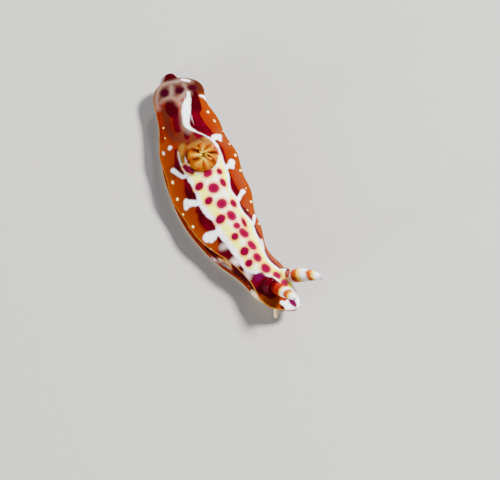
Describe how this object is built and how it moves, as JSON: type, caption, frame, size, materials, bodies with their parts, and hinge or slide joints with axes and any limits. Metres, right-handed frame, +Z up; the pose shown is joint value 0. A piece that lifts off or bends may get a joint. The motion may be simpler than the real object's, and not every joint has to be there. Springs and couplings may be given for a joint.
{
  "type": "nudibranch sea slug",
  "caption": "Crawling sea slug, Hypselodoris yarae, life size: long domed mantle over a flat foot, ringed feelers leaning forward, and a closed crown of gills near the tail.",
  "frame": {"origin": "on the floor, under the middle of the whole animal's bounding box", "axes": "+Z up from the sole, +Y from the head to the tail, +X to the animal's left"},
  "size_m": [0.009, 0.0296, 0.0064],
  "materials": {
    "mantle_skin": "wet orange skin with white lines, magenta spots and maroon patches",
    "flank_skin": "wet maroon skin with cream spots",
    "head_skin": "wet cream skin",
    "gill_skin": "wet orange skin with cream bands and ribs"
  },
  "bodies": {
    "root": {"mantle_front": "mantle_skin", "mantle_middle": "mantle_skin", "mantle_rear": "mantle_skin", "trunk_front": "flank_skin", "trunk_middle": "flank_skin", "trunk_rear": "flank_skin", "foot_front": "flank_skin", "foot_middle": "flank_skin", "foot_rear": "flank_skin", "tail": "flank_skin", "head": "head_skin", "oral_tentacle_left": "head_skin", "oral_tentacle_right": "head_skin", "rhinophore_left": "gill_skin", "rhinophore_right": "gill_skin", "gill": "gill_skin"}
  },
  "joints": []
}
